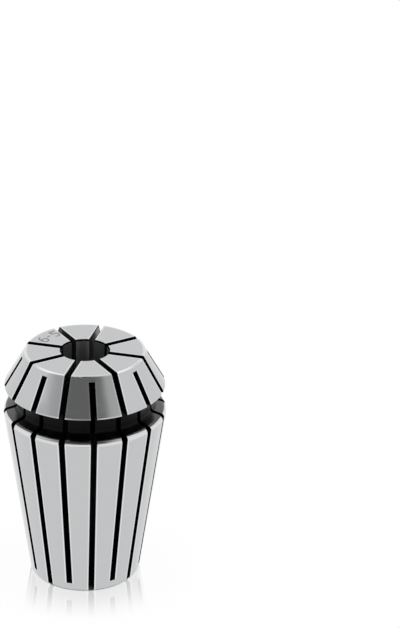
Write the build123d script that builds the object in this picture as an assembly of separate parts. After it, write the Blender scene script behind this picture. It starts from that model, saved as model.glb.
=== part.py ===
from build123d import *
from math import cos, radians, sqrt, tan
import os

# An ER type spring collet, turned and ground from one piece of spring steel.
# All sizes are in millimetres. The frame's origin is the centre of the small tail face,
# and +Z is the collet's axis, pointing to the nose face. The collet stands on its tail.

# Turned outline
overall_length = 31.5
big_end_diameter = 21.0      # where the tail taper would meet the groove's flank
tail_half_angle = 8.0        # degrees from the axis, fits the chuck's seat
nose_half_angle = 30.0       # degrees from the axis, fits the clamping nut
nose_length = 4.8            # from the nose face back to the groove
land_diameter = 20.5         # the short cylinder at the foot of the nose cone
land_height = 0.25
groove_width = 3.1           # from the nose cone's back to the big end of the taper
groove_diameter = 17.4
groove_flank_angle = 15.0    # degrees below level, the slope from the groove to the big end
bore_diameter = 6.0

# Edges that are turned round or bevelled
shoulder_radius = 0.7        # big end of the taper
groove_root_radius = 0.5
groove_corner_radius = 0.2   # under the nose cone
radii_share_of_flank = 0.9   # most of the flank's length that its two radii may take
rim_radius = 0.2             # between the nose face and the nose cone
land_edge = 0.08
tail_chamfer = 0.4
bore_chamfer = 0.2

# Saw slots, cut from both ends in turn
slots_per_end = 8
first_slot_angle = -90.0     # degrees round the axis, a tail slot that faces -Y
slot_width = 0.65
saw_diameter = 40.0
saw_depth_past_bore = 0.4    # how far the saw's rim breaks through the bore wall
nose_slot_floor = 1.3        # height above the tail face where the slots from the nose end
tail_slot_ceiling = 0.65     # depth below the nose face where the slots from the tail end
lip_edge = 0.1               # bevel along the slots' lips
saw_overrun = 2.0            # how far a cut starts clear of the blank

bore_radius = bore_diameter / 2
land_radius = land_diameter / 2
groove_radius = groove_diameter / 2
big_end_radius = big_end_diameter / 2
saw_radius = saw_diameter / 2

land_bottom = overall_length - nose_length
land_top = land_bottom + land_height
big_end_height = land_bottom - groove_width
flank_top = big_end_height + (big_end_radius - groove_radius) * tan(radians(groove_flank_angle))


def tail_radius_at(height):
    """Radius of the tail taper at a height above the tail face."""
    return big_end_radius - (big_end_height - height) * tan(radians(tail_half_angle))


def nose_radius_at(height):
    """Radius of the nose cone at a height above the tail face."""
    return land_radius - (height - land_top) * tan(radians(nose_half_angle))


# Corners of the half section as (radius, height), before any edge is rounded
corners = {
    "nose bore": (bore_radius, overall_length),
    "nose rim": (nose_radius_at(overall_length), overall_length),
    "land head": (land_radius, land_top),
    "land foot": (land_radius, land_bottom),
    "groove corner": (groove_radius, land_bottom),
    "groove root": (groove_radius, flank_top),
    "shoulder": (big_end_radius, big_end_height),
    "tail rim": (tail_radius_at(0), 0),
    "tail bore": (bore_radius, 0),
}
nose_slot_end = (tail_radius_at(nose_slot_floor), nose_slot_floor)
tail_slot_end = (
    nose_radius_at(overall_length - tail_slot_ceiling),
    overall_length - tail_slot_ceiling,
)


def radii_on_flank():
    """Radii of the shoulder and the groove root, both smaller where the flank is too short."""
    flank_length = (big_end_radius - groove_radius) / cos(radians(groove_flank_angle))
    shoulder_run = shoulder_radius * tan(radians(90 - groove_flank_angle + tail_half_angle) / 2)
    root_run = groove_root_radius * tan(radians(90 - groove_flank_angle) / 2)
    share = min(1, radii_share_of_flank * flank_length / (shoulder_run + root_run))
    return shoulder_radius * share, groove_root_radius * share


def turned_blank():
    """The collet before it is slotted: one half section turned about the axis."""
    section = make_face(Polyline(*corners.values(), close=True))
    shoulder_fillet, root_fillet = radii_on_flank()

    def at(name):
        return section.vertices().sort_by_distance(corners[name])[0]

    section = fillet(at("shoulder"), shoulder_fillet)
    section = fillet(at("groove root"), root_fillet)
    section = fillet(at("groove corner"), groove_corner_radius)
    section = fillet(at("nose rim"), rim_radius)
    section = chamfer(at("land foot"), land_edge)
    section = chamfer(at("tail rim"), tail_chamfer)
    section = chamfer(at("tail bore"), bore_chamfer)
    section = chamfer(at("nose bore"), bore_chamfer)
    return revolve(Plane.XZ * section, Axis.Z)


def saw_cut(slot_end, start_height):
    """One slot: a round saw run along the axis, from start_height to where it stops.

    The saw's rim is flat across, so the slot ends square, and it is round in side view,
    so the slot ends on an arc that is longest at the collet's skin. The skin is cut as
    far as slot_end, a radius and a height.
    """
    end_radius, end_height = slot_end
    rim = bore_radius - saw_depth_past_bore
    centre = rim + saw_radius
    outside = big_end_radius + saw_overrun
    back = 1 if start_height > end_height else -1
    saw_height = end_height + back * sqrt(saw_radius**2 - (centre - end_radius) ** 2)

    def rim_height(radius):
        return saw_height - back * sqrt(saw_radius**2 - (centre - radius) ** 2)

    halfway = (rim + outside) / 2
    arc = ThreePointArc(
        (rim, saw_height),
        (halfway, rim_height(halfway)),
        (outside, rim_height(outside)),
    )
    rest = Polyline(
        (outside, rim_height(outside)),
        (outside, start_height),
        (rim, start_height),
        (rim, saw_height),
    )
    side = Plane.XZ * make_face(Curve() + [arc, rest])
    return extrude(side, slot_width / 2, both=True)


def lip_bevel(start, end):
    """A vee run along one straight line of the outline, to break both lips of a slot.

    start and end are (radius, height), in the order nose bore, outside, tail bore.
    The vee is square, and its point lies inside the slot.
    """
    line = Vector(end[0] - start[0], 0, end[1] - start[1])
    across = Plane(origin=(start[0], 0, start[1]), x_dir=(0, 1, 0), z_dir=line)
    depth = slot_width / 2 + lip_edge
    top = saw_overrun / 2
    vee = make_face(Polyline((0, -depth), (depth + top, top), (-depth - top, top), close=True))
    return extrude(across * vee, line.length)


def nose_slot():
    """A slot from the nose face, with its lips broken wherever they lie on ground faces."""
    cut = saw_cut(nose_slot_end, overall_length + saw_overrun)
    cut += lip_bevel(corners["nose bore"], corners["nose rim"])
    cut += lip_bevel(corners["nose rim"], corners["land head"])
    cut += lip_bevel(corners["land head"], corners["land foot"])
    cut += lip_bevel(corners["shoulder"], nose_slot_end)
    return cut


def tail_slot():
    """A slot from the tail face, with its lips broken wherever they lie on ground faces."""
    cut = saw_cut(tail_slot_end, -saw_overrun)
    cut += lip_bevel(tail_slot_end, corners["land head"])
    cut += lip_bevel(corners["land head"], corners["land foot"])
    cut += lip_bevel(corners["shoulder"], corners["tail rim"])
    cut += lip_bevel(corners["tail rim"], corners["tail bore"])
    return cut


def slot_pattern():
    """Slots from the nose and slots from the tail, evenly spaced and in turn."""
    pitch = 360 / slots_per_end
    from_nose = nose_slot()
    from_tail = tail_slot()
    cuts = []
    for index in range(slots_per_end):
        angle = first_slot_angle + index * pitch
        cuts.append(Rot(0, 0, angle) * from_tail)
        cuts.append(Rot(0, 0, angle + pitch / 2) * from_nose)
    return cuts


blank = turned_blank()
collet = blank - slot_pattern()
collet.label = "collet"

os.makedirs("parts", exist_ok=True)
export_step(collet, "parts/collet.step")
print("collet volume", round(collet.volume, 1), "mm3, faces", len(collet.faces()))
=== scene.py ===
# %% [markdown]
# This file finishes a spring collet, the slotted steel sleeve that grips a cutter in a milling
# chuck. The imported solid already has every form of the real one: two cones, a groove between
# them, sixteen saw slots and a bore. So nothing is remodelled here. The work is in the finish,
# because bare steel has almost no colour of its own. It shows what stands round it, and how each
# face was cut decides how sharply it shows it. The cells go from the outside skin to the slots,
# then to the size digits, the floor, the studio and the camera.

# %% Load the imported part
import math

import bpy
import numpy as np
from mathutils import Matrix, Vector


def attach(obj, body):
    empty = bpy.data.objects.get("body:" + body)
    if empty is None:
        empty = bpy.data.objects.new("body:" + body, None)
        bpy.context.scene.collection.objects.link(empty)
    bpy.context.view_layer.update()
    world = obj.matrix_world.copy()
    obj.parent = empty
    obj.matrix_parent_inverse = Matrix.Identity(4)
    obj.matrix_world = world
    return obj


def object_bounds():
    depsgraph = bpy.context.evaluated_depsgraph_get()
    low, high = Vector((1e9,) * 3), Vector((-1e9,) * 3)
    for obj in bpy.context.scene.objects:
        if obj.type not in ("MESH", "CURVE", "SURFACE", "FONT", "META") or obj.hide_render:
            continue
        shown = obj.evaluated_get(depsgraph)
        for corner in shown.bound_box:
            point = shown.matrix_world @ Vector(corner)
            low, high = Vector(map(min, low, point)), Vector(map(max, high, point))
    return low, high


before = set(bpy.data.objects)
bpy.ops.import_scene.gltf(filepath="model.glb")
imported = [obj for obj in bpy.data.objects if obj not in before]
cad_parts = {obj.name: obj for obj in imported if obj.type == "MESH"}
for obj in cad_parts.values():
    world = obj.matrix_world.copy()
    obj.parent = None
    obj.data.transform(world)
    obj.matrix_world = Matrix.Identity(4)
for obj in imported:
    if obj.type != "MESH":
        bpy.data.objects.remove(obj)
cad_low, cad_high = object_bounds()
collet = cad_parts["collet"]
MM = 0.001
length = cad_high.z / MM
print("collet:", round(length, 2), "mm long,", len(collet.data.polygons), "triangles")

# %% [markdown]
# A collet is turned on a lathe first, then sawn, then hardened, and its cones are ground last.
# Each finish therefore follows the turned outline, which is a few straight lines in radius and
# height. These are the sizes of those lines in millimetres. The angles are the usual ones of
# such a collet: 8 degrees a side on the long taper, and 30 degrees a side on the nose.

# %% Sizes of the turned outline
nose_angle = 30.0
taper_angle = 8.0
flank_angle = 15.0
land_radius = 10.25
land_height = 0.25
nose_height = 4.8
groove_width = 3.1
groove_radius = 8.7
shoulder_radius = 10.5
bore_radius = 3.0
tail_chamfer = 0.4
land_bottom = length - nose_height
land_top = land_bottom + land_height
shoulder = land_bottom - groove_width
tail_radius = shoulder_radius - shoulder * math.tan(math.radians(taper_angle))
print("taper runs from", shoulder_radius, "mm to", round(tail_radius, 2), "mm in radius")


# %% [markdown]
# Colours are written as the sRGB hex values that a picture shows, and one function turns them to
# the linear values in which light is added. A second function adds a shader node, sets it up and
# feeds its sockets. A source may be a number, another node or one socket of it, so a chain of
# nodes reads from the inside out like a formula.

# %% Helpers for colours and nodes
def linear(hex_colour):
    """Linear red, green, blue and alpha of an sRGB hex colour, by the sRGB curve."""
    shown = [int(hex_colour[i : i + 2], 16) / 255 for i in (1, 3, 5)]
    return (*(v / 12.92 if v <= 0.04045 else ((v + 0.055) / 1.055) ** 2.4 for v in shown), 1.0)


def add(tree, kind, inputs=None, **settings):
    """A new node of this kind, with settings made and each input set to a value or linked."""
    node = tree.nodes.new(kind)
    for name, value in settings.items():
        setattr(node, name, value)
    for socket, source in (inputs or {}).items():
        if isinstance(source, bpy.types.Node):
            source = next(out for out in source.outputs if out.enabled)
        if isinstance(source, bpy.types.NodeSocket):
            tree.links.new(source, node.inputs[socket])
        else:
            node.inputs[socket].default_value = source
    return node


def new_material(name):
    """An empty node material and its tree."""
    material = bpy.data.materials.new(name)
    material.use_nodes = True
    material.node_tree.nodes.clear()
    return material, material.node_tree


print("hex #C1C2C3 is", [round(v, 3) for v in linear("#C1C2C3")[:3]], "in linear light")


# %% [markdown]
# How does a material know that a point lies in a slot? Painting a map by hand would need a UV
# layout. Here the shader works out how deep the point lies below the turned outline. On one side
# of a straight line the depth is a dot product. Where several lines bound a convex piece, it is
# the smallest of their depths. The outline is three such pieces, the nose, the core and the tail,
# joined by taking the greatest, and the bore takes its share away. On the lathe's own skin the
# depth is nought, and on a saw cut it is not.

# %% Depth below the turned outline
def outline_depth(tree, point):
    """Depth in mm of (radius, height, 1), as the greatest of the pieces' smallest depths."""

    def below(radius, height, facing):
        """Depth behind the line through this radius and height that faces so many degrees up."""
        out, up = math.cos(math.radians(facing)), math.sin(math.radians(facing))
        line = (-out, -up, radius * out + height * up)
        behind = add(tree, "ShaderNodeVectorMath", {0: point, 1: line}, operation="DOT_PRODUCT")
        return behind.outputs["Value"]

    def join(operation, depths):
        """One depth from several, by MINIMUM inside a piece or MAXIMUM between pieces."""
        joined = depths[0]
        for depth in depths[1:]:
            joined = add(tree, "ShaderNodeMath", {0: joined, 1: depth}, operation=operation)
        return joined

    chamfer_facing = -(90 + taper_angle) / 2
    nose = [
        below(0, length, 90),
        below(land_radius, land_top, nose_angle),
        below(land_radius, land_top, 0),
        below(0, land_bottom, -90),
    ]
    core = [below(groove_radius, 0, 0), below(0, land_top, 90), below(0, shoulder, -90)]
    tail = [
        below(shoulder_radius, shoulder, 90 - flank_angle),
        below(shoulder_radius, shoulder, -taper_angle),
        below(tail_radius - tail_chamfer, 0, chamfer_facing),
        below(0, 0, -90),
    ]
    solid = join("MAXIMUM", [join("MINIMUM", piece) for piece in (nose, core, tail)])
    return join("MINIMUM", [solid, below(bore_radius, 0, 180)])


print("outline of 3 convex pieces and a bore")


# %% [markdown]
# Every zone below needs the same few facts about a point, so one function works them out in
# millimetres from Object coordinates: height, radius, the way round the part, and the depth. The
# slots lie in planes through the axis, one every 45 degrees from each end. An angle divided by
# that pitch and folded at its middle gives the way to the nearest plane, and times the radius it
# is a distance in millimetres.

# %% Facts about a point
slot_pitch = 45.0
first_tail_slot = -90.0
first_nose_slot = first_tail_slot + slot_pitch / 2


def beside_slot(tree, axes, radius, first_slot):
    """Distance in mm round the part to the nearest of the slots that start at this angle."""
    sides = {0: axes.outputs["Y"], 1: axes.outputs["X"]}
    angle = add(tree, "ShaderNodeMath", sides, operation="ARCTAN2")
    pitch = math.radians(slot_pitch)
    in_pitches = {0: angle, 1: 1 / pitch, 2: -first_slot / slot_pitch}
    angle = add(tree, "ShaderNodeMath", in_pitches, operation="MULTIPLY_ADD")
    folded = add(tree, "ShaderNodeMath", {0: angle, 1: 0.5}, operation="PINGPONG")
    folded = add(tree, "ShaderNodeMath", {0: folded, 1: pitch}, operation="MULTIPLY")
    return add(tree, "ShaderNodeMath", {0: folded, 1: radius}, operation="MULTIPLY")


def point_facts(tree):
    """Height, radius, unit vectors out and round, depth, and the distances from the slots."""
    in_metres = add(tree, "ShaderNodeTexCoord").outputs["Object"]
    place = add(tree, "ShaderNodeVectorMath", {0: in_metres, "Scale": 1 / MM}, operation="SCALE")
    axes = add(tree, "ShaderNodeSeparateXYZ", {0: place})
    level = add(tree, "ShaderNodeCombineXYZ", {"X": axes.outputs["X"], "Y": axes.outputs["Y"]})
    radius = add(tree, "ShaderNodeVectorMath", {0: level}, operation="LENGTH").outputs["Value"]
    out = add(tree, "ShaderNodeVectorMath", {0: level}, operation="NORMALIZE")
    round_it = add(tree, "ShaderNodeVectorMath", {0: (0, 0, 1), 1: out}, operation="CROSS_PRODUCT")
    outline = add(tree, "ShaderNodeCombineXYZ", {"X": radius, "Y": axes.outputs["Z"], "Z": 1.0})
    return {
        "height": axes.outputs["Z"],
        "radius": radius,
        "out": out,
        "round": round_it,
        "depth": outline_depth(tree, outline),
        "beside_nose_slot": beside_slot(tree, axes, radius, first_nose_slot),
        "beside_tail_slot": beside_slot(tree, axes, radius, first_tail_slot),
    }


zone_fade = 0.04
beyond = 99.0


def between(tree, value, start, end, fade=zone_fade):
    """1 where value lies from start to end, and 0 outside, with a soft step of width fade."""
    rise = {"Value": value, "From Min": start - fade / 2, "From Max": start + fade / 2}
    fall = {"Value": value, "From Min": end + fade / 2, "From Max": end - fade / 2}
    up = add(tree, "ShaderNodeMapRange", rise, interpolation_type="SMOOTHSTEP")
    down = add(tree, "ShaderNodeMapRange", fall, interpolation_type="SMOOTHSTEP")
    return add(tree, "ShaderNodeMath", {0: up, 1: down}, operation="MULTIPLY")


print("zones are told apart to about", zone_fade, "mm")


# %% [markdown]
# Grinding leaves fine scratches that run round the part, like the grooves of a record. Each one
# is short, because a wheel's grains come and go. A noise texture gives that look when it is
# squeezed along the outline and stretched round the part. Real scratches of a fine wheel lie
# about 0.03 mm apart, which is far below a pixel here, so they are drawn 0.12 mm apart. They
# change the roughness and the tone a little, and dent the face by less than a thousandth of a
# millimetre. Using the outward unit vector instead of an angle leaves no seam at the back.

# %% Grinding marks
scratch_spacing = 0.12
scratch_run = 5.0
scratch_depth = 0.0004
scratch_strength = 0.5
roughness_spread = 0.03
tone_spread = 0.03


def grinding_marks(tree, facts):
    """Noise of (out * a stretch, height - radius), squeezed one way and stretched the other."""
    along = add(tree, "ShaderNodeMath", {0: facts["height"], 1: facts["radius"]}, operation="SUBTRACT")
    along = add(tree, "ShaderNodeMath", {0: along, 1: 1 / scratch_spacing}, operation="MULTIPLY")
    outward = {0: facts["out"], "Scale": shoulder_radius / scratch_run}
    stretch = add(tree, "ShaderNodeVectorMath", outward, operation="SCALE")
    lift = add(tree, "ShaderNodeCombineXYZ", {"Z": along})
    where = add(tree, "ShaderNodeVectorMath", {0: stretch, 1: lift}, operation="ADD")
    return add(tree, "ShaderNodeTexNoise", {"Vector": where, "Scale": 1.0, "Detail": 2.0})


print("scratches", scratch_spacing, "mm apart and about", scratch_run, "mm long")


# %% [markdown]
# The metal is a spring steel such as 65Mn, hardened and then ground. Polished iron reflects about
# 56 per cent of the light at every wavelength, so its base colour is a light neutral grey, with
# Metallic at 1. Grinding gives a roughness near 0.12, and the highlight spreads across the
# scratches, which is what Anisotropic does with a tangent that runs round the part. The hollows
# carry painted shade: the groove's root and the underside of the nose are near black, the groove's
# flank a darker grey, and the saw cuts' walls and the lips of the nose's slots near black. The bore
# is honed grey near the nose and fades with depth into a dull near black that is no metal, painted
# shade, which also covers the little chamfer at its mouth. A cut's walls are smoothest by the nose
# rim, where the saw comes in. Beside the slots, round the nose rim and in a band under the shoulder
# the steel is paler: partly real rubbing by stone and cloth, partly a painted highlight. Each
# finish below is a base colour, a roughness and a Metallic value.

# %% Ground and hardened spring steel
# Of these finishes, the pale edge colour is partly real rubbing and partly a painted highlight, and the
# dark ones for the groove, the bore's depth and the slots are painted shade.
finishes = {
    "ground": ("#C1C2C3", 0.12, 1.0),
    "edge": ("#DCDDDE", 0.10, 1.0),
    "flank": ("#565657", 0.20, 1.0),
    "groove_shade": ("#171718", 0.34, 1.0),
    "bore_shade": ("#0C0C0D", 0.85, 0.0),
    "bore": ("#9A9A9C", 0.34, 1.0),
    "slot_shade": ("#121213", 0.60, 1.0),
    "saw entry": ("#1C1C1D", 0.22, 1.0),
}
anisotropy = 0.5
quarter_turn = 0.25
flank_inner = groove_radius + 0.4
groove_inner = groove_radius - 0.2
groove_shade_fade = 0.3
groove_foot = shoulder + 0.03
groove_head = land_bottom + 0.01
underside_foot = land_bottom - 0.05
bore_mouth = bore_radius + 0.2
bore_edge = bore_radius + 0.002
bore_fade = 0.002
lip_skin = 0.03
slot_shade_depth = 0.22
slot_shade_fade = 0.03
bore_shade_reach = 16.0
entry_start = 3.6
entry_end = 6.4
entry_depth = 1.6
entry_fade = 1.2
slot_half_width = 0.325
lip_width = 0.1
lip_fade = 0.02
dark_lip_share = 0.85
edge_width = 0.14
edge_fade = 0.08
rim_band = 0.26
rim_fade = 0.1
shoulder_highlight_share = 0.9
shoulder_highlight_height = 0.5
shoulder_highlight_fade = 0.4
nose_slot_floor = 1.3
tail_slot_ceiling = length - 0.65
slot_end_margin = 0.04
nose_rim = land_radius - (length - land_top) * math.tan(math.radians(nose_angle))


def near_slots(tree, facts, reach, fade):
    """1 within this distance in mm of a slot's middle plane, as far along as the slot runs."""
    strips = []
    for distance, start, end in (
        (facts["beside_nose_slot"], nose_slot_floor - slot_end_margin, beyond),
        (facts["beside_tail_slot"], -beyond, tail_slot_ceiling + slot_end_margin),
    ):
        across = between(tree, distance, -beyond, reach, fade)
        along = between(tree, facts["height"], start, end)
        strips.append(add(tree, "ShaderNodeMath", {0: across, 1: along}, operation="MULTIPLY"))
    return add(tree, "ShaderNodeMath", {0: strips[0], 1: strips[1]}, operation="MAXIMUM")


def rubbed_and_highlit_edges(tree, facts):
    """1 along the lips of the slots and round the nose rim, and part of it on the shoulder: partly real
    rubbing, partly painted highlight.
    """
    lips = near_slots(tree, facts, slot_half_width + lip_width + edge_width, edge_fade)
    near_top = between(tree, facts["height"], length - edge_width, beyond)
    near_rim = between(tree, facts["radius"], nose_rim - rim_band, beyond, rim_fade)
    rim = add(tree, "ShaderNodeMath", {0: near_top, 1: near_rim}, operation="MULTIPLY")
    highlight_foot = shoulder - shoulder_highlight_height
    big_end = between(tree, facts["height"], highlight_foot, shoulder, shoulder_highlight_fade)
    big_end = add(tree, "ShaderNodeMath", {0: big_end, 1: shoulder_highlight_share}, operation="MULTIPLY")
    edges = add(tree, "ShaderNodeMath", {0: lips, 1: rim}, operation="MAXIMUM")
    return add(tree, "ShaderNodeMath", {0: edges, 1: big_end}, operation="MAXIMUM")


def steel_zones(tree, facts):
    """Masks of the finishes that differ from ground steel, each laid over the ones before."""
    # Painted shade in the groove: its flank is a darker grey, and its root and the nose's underside are
    # near black, with a soft step up the flank.
    groove = between(tree, facts["height"], groove_foot, groove_head)
    off_core = between(tree, facts["radius"], groove_inner, beyond)
    groove = add(tree, "ShaderNodeMath", {0: groove, 1: off_core}, operation="MULTIPLY")
    root = between(tree, facts["radius"], -beyond, flank_inner, groove_shade_fade)
    underside = between(tree, facts["height"], underside_foot, beyond)
    root = add(tree, "ShaderNodeMath", {0: root, 1: underside}, operation="MAXIMUM")
    root = add(tree, "ShaderNodeMath", {0: groove, 1: root}, operation="MULTIPLY")
    # Painted shade in the bore: the bore and the chamfer at its mouth are a dull near black, and the
    # honed grey laid over the bore fades out with depth from the nose.
    bore_shade_zone = between(tree, facts["radius"], -beyond, bore_mouth)
    bore = between(tree, facts["radius"], -beyond, bore_edge, bore_fade)
    bore_shade_ramp = {"Value": facts["height"], "From Min": length - bore_shade_reach, "From Max": length}
    bore_shade_ramp = add(tree, "ShaderNodeMapRange", bore_shade_ramp)
    bore = add(tree, "ShaderNodeMath", {0: bore, 1: bore_shade_ramp}, operation="MULTIPLY")
    # Painted shade in the slots: their walls are near black, and on the nose the lips beside them are
    # too.
    slots = near_slots(tree, facts, slot_half_width + lip_width, lip_fade)
    inside_lip = between(tree, facts["depth"], lip_skin, beyond, lip_fade)
    wall = add(tree, "ShaderNodeMath", {0: slots, 1: inside_lip}, operation="MULTIPLY")
    deep = between(tree, facts["depth"], slot_shade_depth, beyond, slot_shade_fade)
    slot_shade = add(tree, "ShaderNodeMath", {0: wall, 1: deep}, operation="MAXIMUM")
    nose_lips = near_slots(tree, facts, slot_half_width + dark_lip_share * lip_width, lip_fade)
    on_nose = between(tree, facts["height"], land_bottom, beyond)
    nose_lips = add(tree, "ShaderNodeMath", {0: nose_lips, 1: on_nose}, operation="MULTIPLY")
    off_bore = between(tree, facts["radius"], bore_mouth, beyond)
    nose_lips = add(tree, "ShaderNodeMath", {0: nose_lips, 1: off_bore}, operation="MULTIPLY")
    slot_shade = add(tree, "ShaderNodeMath", {0: slot_shade, 1: nose_lips}, operation="MAXIMUM")
    entry = {"Value": facts["radius"], "From Min": entry_start, "From Max": entry_end}
    entry = add(tree, "ShaderNodeMapRange", entry)
    entry = add(tree, "ShaderNodeMath", {0: slot_shade, 1: entry}, operation="MULTIPLY")
    upper = between(tree, facts["height"], length - entry_depth, beyond, entry_fade)
    entry = add(tree, "ShaderNodeMath", {0: entry, 1: upper}, operation="MULTIPLY")
    turned = [("edge", rubbed_and_highlit_edges(tree, facts)), ("flank", groove), ("groove_shade", root)]
    return turned + [("bore_shade", bore_shade_zone), ("bore", bore), ("slot_shade", slot_shade), ("saw entry", entry)]


def hardened_ground_steel():
    """Bright ground steel, painted shade in the groove and slots, a honed bore darkening into painted
    shade.
    """
    material, tree = new_material("hardened_ground_spring_steel")
    facts = point_facts(tree)
    marks = grinding_marks(tree, facts)
    hex_colour, rough, metal = finishes["ground"]
    colour = linear(hex_colour)
    for name, zone in steel_zones(tree, facts):
        hex_colour, roughness, metallic = finishes[name]
        laid_over = {0: zone, 6: colour, 7: linear(hex_colour)}
        colour = add(tree, "ShaderNodeMix", laid_over, data_type="RGBA")
        rough = add(tree, "ShaderNodeMix", {0: zone, 2: rough, 3: roughness})
        metal = add(tree, "ShaderNodeMix", {0: zone, 2: metal, 3: metallic})

    scatter = {"Value": marks, "To Min": -roughness_spread, "To Max": roughness_spread}
    scatter = add(tree, "ShaderNodeMapRange", scatter)
    rough = add(tree, "ShaderNodeMath", {0: rough, 1: scatter}, operation="ADD")
    tone = {"Value": marks, "To Min": 1 - tone_spread, "To Max": 1 + tone_spread}
    tone = add(tree, "ShaderNodeMapRange", tone)
    colour = add(tree, "ShaderNodeVectorMath", {0: colour, "Scale": tone}, operation="SCALE")
    dents = {"Height": marks, "Strength": scratch_strength, "Distance": scratch_depth * MM}
    scratches = add(tree, "ShaderNodeBump", dents)
    shader = add(
        tree,
        "ShaderNodeBsdfPrincipled",
        {
            "Base Color": colour,
            "Metallic": metal,
            "Specular IOR Level": 0.0,
            "Roughness": rough,
            "Normal": scratches,
            "Tangent": facts["round"],
            "Anisotropic": anisotropy,
            "Anisotropic Rotation": quarter_turn,
        },
    )
    add(tree, "ShaderNodeOutputMaterial", {"Surface": shader})
    return material


collet.material_slots[0].material = hardened_ground_steel()
print("finishes:", ", ".join(finishes))


# %% [markdown]
# Every collet of this kind has its gripping range marked on the nose face, as two plain sizes in
# millimetres. A laser draws each digit with a single line of even width, so the digits are made
# the same way: each stroke is a centre line, an arc or a straight run, with a thin flat band
# carried along it. A band stands a hundredth of a millimetre proud, which keeps it clear of the
# face behind it. Each stroke lies a little higher than the one before, so no two lie in one plane.
# A bowl's half height is given as a share of the digit's height, and the dash's half length as a
# share of its width.

# %% Centre lines of the digits
digit_height = 1.45
digit_width = 0.8
line_width = 0.18
six_bowl = 0.29
five_bowl = 0.3
dash_reach = 0.3


def arc(centre, radii, start, end, count=24):
    """Points centre + (rx cos t, ry sin t) as t runs from start to end degrees."""
    t = np.radians(np.linspace(start, end, count))
    return np.stack([centre[0] + radii[0] * np.cos(t), centre[1] + radii[1] * np.sin(t)], axis=1)


def six():
    """A closed bowl, and a stem that curls down its left side."""
    rx, ry = digit_width / 2, digit_height * six_bowl
    bowl = arc((0, ry), (rx, ry), 180, -180, 40)
    stem = arc((rx * 0.9, ry), (rx * 1.9, digit_height - ry), 100, 180)
    return [bowl, stem]


def five():
    """A flag at the top, a short upright and an open bowl below it."""
    rx, ry = digit_width / 2, digit_height * five_bowl
    bowl = arc((-rx * 0.1, ry), (rx * 1.05, ry), 125, -140, 32)
    corner = (-rx * 0.75, digit_height)
    flag = np.array([(rx * 0.85, digit_height), corner])
    return [bowl, np.array([corner, bowl[0]]), flag]


def dash():
    """A short level line between the two sizes."""
    reach, middle = digit_width * dash_reach, digit_height / 2
    return [np.array([(-reach, middle), (reach, middle)])]


print("digits", digit_height, "mm tall, drawn with a", line_width, "mm line")


# %% [markdown]
# The band needs a direction across the line at each point. That direction is the line's own
# direction turned by a quarter, taken from its neighbours with the gradient function. Four rails,
# right and left at the top and at the foot, make a closed band. The text stands upright with its
# top towards the rim, so height becomes radius, and width becomes an angle round the axis.

# %% Digits on the nose face
text_radius = 5.4
text_angle = -136.5
digit_pitch = 10.6
proud = 0.01
sunk = 0.02
stroke_step = 0.002


def band(line, turn, top):
    """Closed band along a centre line. Corners are line + side * width / 2 at two heights."""
    ahead = np.gradient(line, axis=0)
    side = np.stack([-ahead[:, 1], ahead[:, 0]], axis=1)
    side *= line_width / 2 / np.linalg.norm(side, axis=1, keepdims=True)
    rails = np.concatenate([line - side, line + side])
    radius = text_radius + rails[:, 1]
    angle = np.radians(turn) - rails[:, 0] / text_radius
    flat = np.stack([radius * np.sin(angle), -radius * np.cos(angle)], axis=1)
    heights = np.repeat([length + top, length - sunk], len(flat))[:, None]
    points = np.concatenate([np.concatenate([flat, flat]), heights], axis=1) * MM
    n = len(line)
    i = np.arange(n - 1)
    right, left, right_low, left_low = i, i + n, i + 2 * n, i + 3 * n
    quads = [
        np.stack([right, right + 1, left + 1, left], axis=1),
        np.stack([right_low, left_low, left_low + 1, right_low + 1], axis=1),
        np.stack([right, right_low, right_low + 1, right + 1], axis=1),
        np.stack([left, left + 1, left_low + 1, left_low], axis=1),
    ]
    ends = np.array([[0, n, 3 * n, 2 * n], [n - 1, 3 * n - 1, 4 * n - 1, 2 * n - 1]])
    return points, np.concatenate(quads + [ends])


def size_digits():
    """The range 6-5 as one mesh, with a band for every stroke."""
    points, faces, count = [], [], 0
    for strokes, place in ((six(), 1), (dash(), 0), (five(), -1)):
        for layer, line in enumerate(strokes):
            turn = text_angle + place * digit_pitch
            corners, quads = band(line, turn, proud + layer * stroke_step)
            points.append(corners)
            faces.append(quads + count)
            count += len(corners)
    mesh = bpy.data.meshes.new("size_digits")
    mesh.from_pydata(np.concatenate(points).tolist(), [], np.concatenate(faces).tolist())
    mesh.validate()
    piece = bpy.data.objects.new("size_digits", mesh)
    bpy.context.scene.collection.objects.link(piece)
    return piece


digits = size_digits()
print("digits:", len(digits.data.polygons), "faces")


# %% [markdown]
# A marking laser doesn't cut. It heats the steel until a thin oxide grows, which looks a little
# darker and much duller than the ground face round it, with a grainy edge. So the mark is the same
# metal with a greyer base colour and a roughness of 0.45, and a fine noise mixes two greys.

# %% Laser mark
mark_grain = 0.15
mark_greys = ("#787879", "#9C9C9D")
mark_roughness = 0.45


def laser_mark():
    """Steel that a laser has heated until it turned a soft grey, with a grainy edge to it."""
    material, tree = new_material("laser_annealed_mark")
    place = add(tree, "ShaderNodeTexCoord").outputs["Object"]
    specks = {"Vector": place, "Scale": 1 / (mark_grain * MM), "Detail": 2.0}
    grain = add(tree, "ShaderNodeTexNoise", specks)
    greys = {0: grain, 6: linear(mark_greys[0]), 7: linear(mark_greys[1])}
    tone = add(tree, "ShaderNodeMix", greys, data_type="RGBA")
    surface = {"Base Color": tone, "Metallic": 1.0, "Roughness": mark_roughness}
    shader = add(tree, "ShaderNodeBsdfPrincipled", surface)
    add(tree, "ShaderNodeOutputMaterial", {"Surface": shader})
    return material


digits.data.materials.append(laser_mark())
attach(digits, "root")


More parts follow.
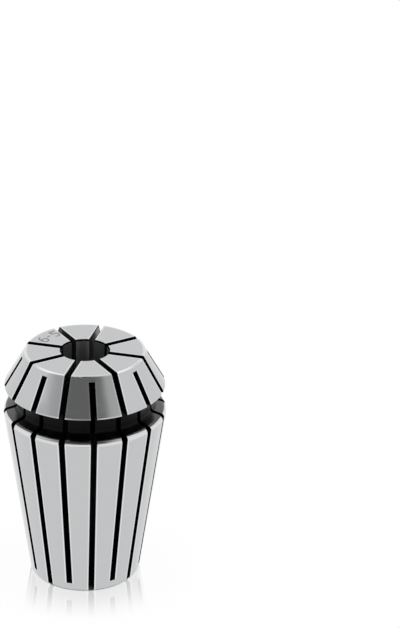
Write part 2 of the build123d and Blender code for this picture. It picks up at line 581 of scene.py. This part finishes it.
# %% [markdown]
# The part stands on a sheet of white acrylic. A camera sees such a sheet as plain white with a
# weak mirror image in it, strongest close to the foot. Light on the part must not be turned up to
# get that white, so the sheet gives off white itself. Near the part a share of it is ordinary matt
# white, which carries the shadow, and a share is glossy. Only the camera sees those two shares, and
# the steel mirrors the plain white. Under the foot the sheet is all matt for every ray, and its
# colour is painted black there, turning white near the foot's edge: painted shade. It ends a little
# in front of the part, outside the picture, and the small cylinder at the foot of the nose cone
# mirrors the dimmer room beyond that edge.

# %% White acrylic floor
floor_reach = 1500.0
floor_front = -54.0
foot_edge = tail_radius - 0.4
contact_blur = 0.22
painted_black_edge = foot_edge - 1.7
painted_shade_end = foot_edge - 0.3
shade_share = 0.08
shade_reach = 10.0
mirror_share = 0.36
mirror_reach = 7.5
mirror_roughness = 0.1


def acrylic_floor():
    """A sheet whose matt share and mirror share both fade away from the foot."""
    left, right, near, far = -floor_reach, floor_reach, floor_front, floor_reach
    corners = [(left, near, 0), (right, near, 0), (right, far, 0), (left, far, 0)]
    mesh = bpy.data.meshes.new("acrylic_floor")
    mesh.from_pydata((np.array(corners) * MM).tolist(), [], [(0, 1, 2, 3)])
    floor = bpy.data.objects.new("acrylic_floor", mesh)
    bpy.context.scene.collection.objects.link(floor)
    material, tree = new_material("white_acrylic_sheet")
    white = linear("#FFFFFF")
    place = add(tree, "ShaderNodeTexCoord").outputs["Object"]
    place = add(tree, "ShaderNodeVectorMath", {0: place, "Scale": 1 / MM}, operation="SCALE")
    radius = add(tree, "ShaderNodeVectorMath", {0: place}, operation="LENGTH").outputs["Value"]
    seen = add(tree, "ShaderNodeLightPath").outputs["Is Camera Ray"]

    def fading(share, reach, rays, **settings):
        """A share that is full at the foot's edge and falls to nothing over this reach in mm."""
        fall = {"Value": radius, "From Min": foot_edge, "From Max": foot_edge + reach}
        fall |= {"To Min": share, "To Max": 0.0}
        falling = add(tree, "ShaderNodeMapRange", fall, **settings)
        return add(tree, "ShaderNodeMath", {0: falling, 1: rays}, operation="MULTIPLY")

    matt = {0: fading(1.0, contact_blur, 1.0), 1: fading(shade_share, shade_reach, seen)}
    matt = add(tree, "ShaderNodeMath", matt, operation="MAXIMUM")
    glow = add(tree, "ShaderNodeEmission", {"Color": white})
    # Painted shade: the matt colour is black under the foot and turns white towards its edge.
    painted_foot_shade = add(tree, "ShaderNodeMapRange", {"Value": radius, "From Min": painted_black_edge, "From Max": painted_shade_end})
    plain = add(tree, "ShaderNodeBsdfDiffuse", {"Color": painted_foot_shade})
    sheet = add(tree, "ShaderNodeMixShader", {0: matt, 1: glow, 2: plain})
    mirror = fading(mirror_share, mirror_reach, seen, interpolation_type="SMOOTHSTEP")
    gloss = add(tree, "ShaderNodeBsdfGlossy", {"Color": white, "Roughness": mirror_roughness})
    sheet = add(tree, "ShaderNodeMixShader", {0: mirror, 1: sheet, 2: gloss})
    add(tree, "ShaderNodeOutputMaterial", {"Surface": sheet})
    mesh.materials.append(material)
    return floor


acrylic_floor()
print("floor", 2 * floor_reach * MM, "m wide, ending", -floor_front, "mm in front of the axis")


# %% [markdown]
# Polished metal is only as interesting as the room round it. In a plain white tent it looks like
# grey paper. So the studio is white, with dark cards standing round the part at the height that
# the nose cone reflects. Directions are given as a turn round the compass from the camera's side
# and a rise above the level. The level of the cards is a ramp round the compass. The room above
# them is dark on the camera's side, and so is a strip behind the part, which keeps the groove's
# flank and its shoulder dark. Two soft boxes hang behind, left and right, and draw the bright line
# along the rim of the nose face. The last patch is the dimmer room below the edge of the sheet.
# A patch lies on both sides of the camera, so its turns count from 0 in front to 180 behind.

# %% Studio
camera_turn = -9.45
card_levels = [
    (-138, 1.0),
    (-134, 0.5),
    (-118, 0.5),
    (-114, 1.0),
    (-72, 1.0),
    (-70, 0.53),
    (-27, 0.53),
    (-25, 0.175),
    (20, 0.185),
    (32, 0.26),
    (42, 0.57),
    (63, 0.63),
    (67, 1.0),
    (114, 1.0),
    (118, 0.5),
    (134, 0.5),
    (138, 1.0),
]
all_round = (-360, 360)
card_rise = (25, 42)
card_fades = (4, 6)
overhead = 1.15
overhead_rise = (50.0, 75.0)
patches = [
    {"level": 0.05, "turns": (-360, 62), "rises": (42, 100), "fades": (56, 8)},
    {"level": 1.5, "turns": (88, 164), "rises": (47, 62), "fades": (4, 6)},
    {"level": 0.1, "turns": (168, 360), "rises": (45, 100), "fades": (4, 24)},
    {"level": 0.36, "turns": (-360, 26), "rises": (-34, -23), "fades": (4, 3)},
]


def patch_of_sky(tree, turn, rise, turns, rises, fades):
    """1 inside a stretch of the compass and a stretch of elevation, in degrees, and 0 outside."""
    across = between(tree, turn, *turns, fades[0])
    upward = between(tree, rise, *rises, fades[1])
    return add(tree, "ShaderNodeMath", {0: across, 1: upward}, operation="MULTIPLY")


def studio():
    """World whose light is 1, with the ring of cards and the other patches laid over it."""
    world = bpy.data.worlds.new("studio")
    world.use_nodes = True
    tree = world.node_tree
    tree.nodes.clear()
    axes = add(tree, "ShaderNodeSeparateXYZ", {0: add(tree, "ShaderNodeTexCoord").outputs["Generated"]})
    front = add(tree, "ShaderNodeMath", {0: axes.outputs["Y"], 1: -1.0}, operation="MULTIPLY")
    turn = add(tree, "ShaderNodeMath", {0: axes.outputs["X"], 1: front}, operation="ARCTAN2")
    in_degrees = {0: turn, 1: 180 / math.pi, 2: -camera_turn}
    turn = add(tree, "ShaderNodeMath", in_degrees, operation="MULTIPLY_ADD")
    rise = add(tree, "ShaderNodeMath", {0: axes.outputs["Z"]}, operation="ARCSINE")
    rise = add(tree, "ShaderNodeMath", {0: rise, 1: 180 / math.pi}, operation="MULTIPLY")

    along_ramp = add(tree, "ShaderNodeMath", {0: turn, 1: 1 / 360, 2: 0.5}, operation="MULTIPLY_ADD")
    around = add(tree, "ShaderNodeValToRGB", {0: along_ramp})
    ramp = around.color_ramp
    for element in ramp.elements:
        element.color = (1, 1, 1, 1)
    for degrees, level in card_levels:
        ramp.elements.new(degrees / 360 + 0.5).color = (level, level, level, 1)

    above = {"Value": rise, "From Min": overhead_rise[0], "From Max": overhead_rise[1]}
    above |= {"To Min": 1.0, "To Max": overhead}
    level = add(tree, "ShaderNodeMapRange", above)
    either_side = add(tree, "ShaderNodeMath", {0: turn}, operation="ABSOLUTE")
    for patch in patches:
        place = patch_of_sky(tree, either_side, rise, patch["turns"], patch["rises"], patch["fades"])
        level = add(tree, "ShaderNodeMix", {0: place, 2: level, 3: patch["level"]})
    ring = patch_of_sky(tree, turn, rise, all_round, card_rise, card_fades)
    level = add(tree, "ShaderNodeMix", {0: ring, 2: level, 3: around})
    seen = add(tree, "ShaderNodeLightPath").outputs["Is Camera Ray"]
    level = add(tree, "ShaderNodeMix", {0: seen, 2: level, 3: 1.0})
    background = {"Color": linear("#FFFFFF"), "Strength": level}
    background = add(tree, "ShaderNodeBackground", background)
    add(tree, "ShaderNodeOutputWorld", {"Surface": background})
    return world


bpy.context.scene.world = studio()
print("studio cards from", card_rise[0], "to", card_rise[1], "degrees up")

# %% [markdown]
# The camera was found by matching the collet's edges to the photograph: how far it looks down,
# how far it leans, and where it stands. The part is off the middle of the picture, so the camera
# is moved sideways and up in its own plane instead of turned, which keeps the perspective right.

# %% Camera
picture_height = 628
focal_pixels = 2201.5
look_down = math.radians(25.02)
lean = math.radians(1.31)
distance = 285.94
aside = (14.92, 18.82)

turn = math.radians(camera_turn)
level_back = Vector((math.sin(turn), -math.cos(turn), 0))
back = level_back * math.cos(look_down) + Vector((0, 0, math.sin(look_down)))
level_right = Vector((math.cos(turn), math.sin(turn), 0))
level_up = back.cross(level_right)
right = level_right * math.cos(lean) + level_up * math.sin(lean)
up = level_up * math.cos(lean) - level_right * math.sin(lean)
place = Vector((0, 0, length / 2)) + back * distance + right * aside[0] + up * aside[1]

lens = bpy.data.cameras.new("photo_camera")
lens.sensor_width = 36.0
lens.lens = focal_pixels * lens.sensor_width / picture_height
lens.clip_start = 0.01
lens.clip_end = 10.0
camera = bpy.data.objects.new("photo_camera", lens)
bpy.context.scene.collection.objects.link(camera)
facing = Matrix((right, up, back)).transposed().to_4x4()
camera.matrix_world = Matrix.Translation(place * MM) @ facing
bpy.context.scene.camera = camera
bpy.context.scene.view_settings.view_transform = "Standard"
print("camera", round(distance), "mm away with a", round(lens.lens, 1), "mm lens")
